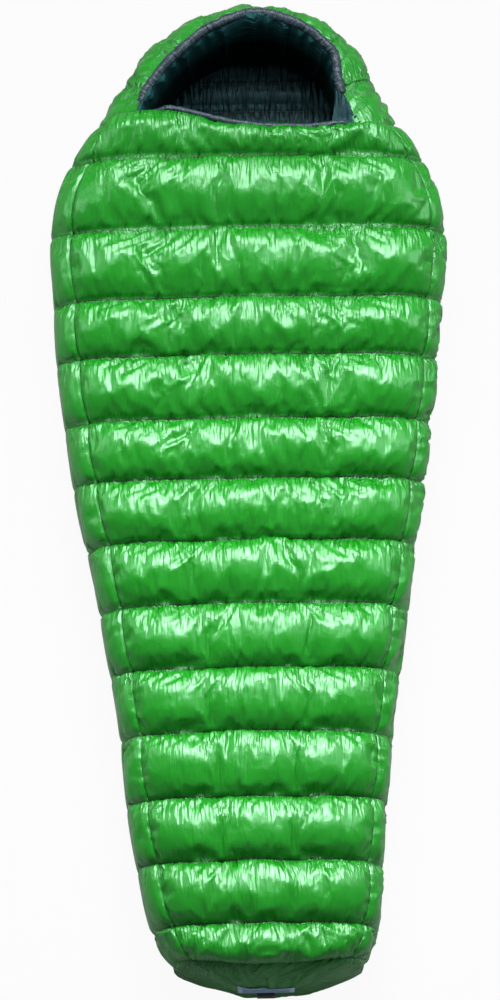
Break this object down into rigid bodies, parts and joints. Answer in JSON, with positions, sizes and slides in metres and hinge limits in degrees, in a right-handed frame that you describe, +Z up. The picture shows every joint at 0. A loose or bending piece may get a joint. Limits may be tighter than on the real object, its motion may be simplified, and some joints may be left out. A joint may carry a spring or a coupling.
{
  "type": "mummy sleeping bag",
  "caption": "Mummy sleeping bag lying on its back, with cross baffles, a drawn-in hood, a two-way side zip, a front that folds open and a closed foot end.",
  "frame": {"origin": "centre of the footprint, on the surface the bag rests on", "axes": "+Z up, +Y from foot to crown, +X to the zip side (the sleeper's left when lying face up)"},
  "size_m": [0.804, 2.0784, 0.24],
  "materials": {
    "shell_nylon": "glossy calendered ripstop",
    "lining_nylon": "soft sheen",
    "insulation": "loose fill",
    "baffle_mesh": "mesh",
    "hem_binding": "gathered binding",
    "zip_tape": "woven",
    "zip_coil": "nylon coil",
    "zip_metal": "satin",
    "zip_pull": "moulded",
    "cord": "braided",
    "label_fabric": "woven, blank",
    "webbing": "woven"
  },
  "bodies": {
    "bag": {"back_baffle_walls": "baffle_mesh", "back_fill": "insulation", "back_lining": "lining_nylon", "back_shell": "shell_nylon", "draft_tube": "lining_nylon", "foot_end_fill": "insulation", "foot_end_lining": "lining_nylon", "foot_end_shell": "shell_nylon", "foot_label": "label_fabric", "front_baffle_walls": "baffle_mesh", "front_fill": "insulation", "front_lining": "lining_nylon", "front_neck_hem": "hem_binding", "front_shell": "shell_nylon", "front_side_fill": "insulation", "front_side_lining": "lining_nylon", "front_side_shell": "shell_nylon", "left_side_fill": "insulation", "left_side_lining": "lining_nylon", "left_side_shell": "shell_nylon", "right_side_fill": "insulation", "right_side_lining": "lining_nylon", "right_side_shell": "shell_nylon", "side_panel_below_zip": "shell_nylon", "zip_bottom_stop": "zip_metal", "zip_coil_back": "zip_coil", "zip_coil_front": "zip_coil", "zip_tape_back": "zip_tape", "zip_tape_front": "zip_tape", "zip_top_stop_back": "zip_metal"},
    "flap": {"flap_baffle_walls": "baffle_mesh", "flap_fill": "insulation", "flap_lining": "lining_nylon", "flap_neck_hem": "hem_binding", "flap_shell": "shell_nylon", "flap_side_fill": "insulation", "flap_side_lining": "lining_nylon", "flap_side_shell": "shell_nylon", "zip_coil_flap": "zip_coil", "zip_tape_flap": "zip_tape", "zip_top_stop_flap": "zip_metal"},
    "hood": {"drawcord_eyelet": "zip_metal", "hood_baffle_walls": "baffle_mesh", "hood_drawcord": "cord", "hood_fill": "insulation", "hood_floor_fill": "insulation", "hood_floor_lining": "lining_nylon", "hood_floor_shell": "shell_nylon", "hood_hem_tunnel": "hem_binding", "hood_lining": "lining_nylon", "hood_shell": "shell_nylon", "neck_facing": "lining_nylon"},
    "top_slider": {"top_slider": "zip_metal"},
    "bottom_slider": {"bottom_slider": "zip_metal"},
    "top_pull": {"top_slider_pull": "zip_pull"},
    "bottom_pull": {"bottom_slider_pull": "zip_pull"},
    "hang_loop": {"hang_loop": "webbing"}
  },
  "joints": [
    {"name": "flap_fold", "type": "hinge", "parent": "bag", "child": "flap", "pos_m": [-0.235, 0.786, 0.24], "axis": [0.5402, -0.8415, 0], "range_deg": [0, 165]},
    {"name": "hood_tilt", "type": "hinge", "parent": "bag", "child": "hood", "pos_m": [0, 0.7868, 0.212], "axis": [1, 0, 0], "range_deg": [0, 25]},
    {"name": "top_slider_run", "type": "hinge", "parent": "bag", "child": "top_slider", "pos_m": [0.034, 0.5295, 0.1], "axis": [0, 0, 1], "range_deg": [-43, 0]},
    {"name": "bottom_slider_run", "type": "slide", "parent": "bag", "child": "bottom_slider", "axis": [0.1201, 0.9928, 0], "range_m": [0, 1.14]},
    {"name": "top_pull_swing", "type": "hinge", "parent": "top_slider", "child": "top_pull", "pos_m": [0.32979, 0.75078, 0.1], "axis": [0, 0, 1], "range_deg": [0, 150]},
    {"name": "bottom_pull_swing", "type": "hinge", "parent": "bottom_slider", "child": "bottom_pull", "pos_m": [0.26023, -0.67583, 0.1], "axis": [0, 0, 1], "range_deg": [0, 150]},
    {"name": "hang_loop_swing", "type": "hinge", "parent": "bag", "child": "hang_loop", "pos_m": [0.011, -1.0314, 0.118], "axis": [-1, 0, 0], "range_deg": [0, 80]}
  ]
}
